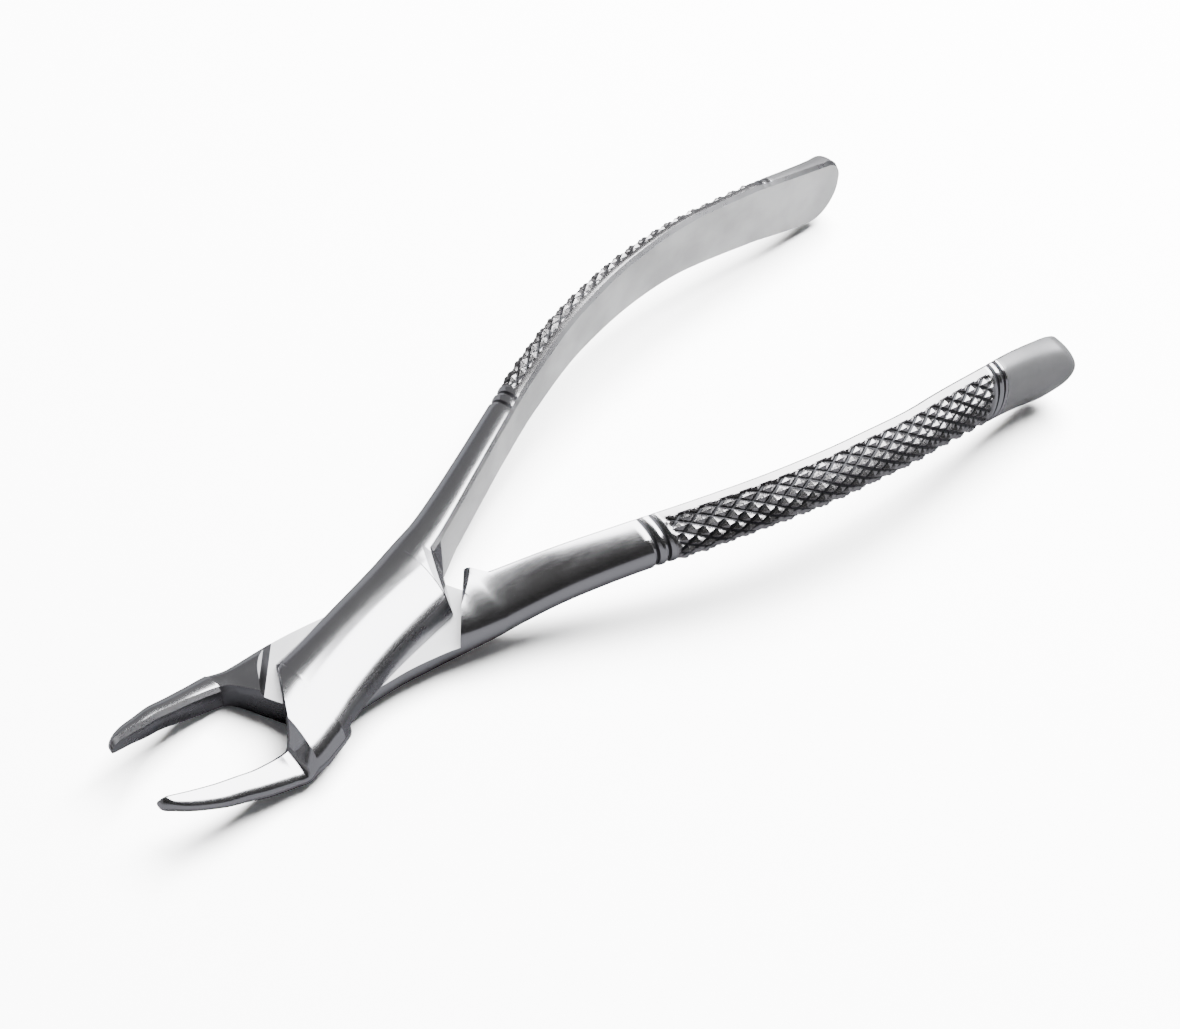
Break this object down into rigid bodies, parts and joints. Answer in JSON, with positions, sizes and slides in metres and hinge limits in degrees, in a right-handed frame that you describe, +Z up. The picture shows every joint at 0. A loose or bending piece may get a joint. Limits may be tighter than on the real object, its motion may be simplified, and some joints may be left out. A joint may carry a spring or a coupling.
{
  "type": "dental extraction forceps",
  "caption": "Polished steel extraction forceps with a crossed lap joint, curved pointed beaks and bowed, knurled handles with flat inner faces.",
  "frame": {"origin": "on the hinge axis, at the flat underside of the joint where the forceps rest on a table", "axes": "+X towards the handle ends with the beaks at -X, +Z up along the hinge axis, +Y towards the upper half's handle"},
  "size_m": [0.1759, 0.067, 0.0218],
  "materials": {
    "polished_steel": "polished",
    "screw_steel": "fine turned"
  },
  "bodies": {
    "lower_body": {"lower_half": "polished_steel"},
    "upper_body": {"upper_half": "polished_steel", "pivot_screw": "screw_steel"}
  },
  "joints": [
    {"name": "pivot", "type": "hinge", "parent": "lower_body", "child": "upper_body", "pos_m": [0, 0, 0.006], "axis": [0, 0, 1], "range_deg": [-13, 30]}
  ]
}
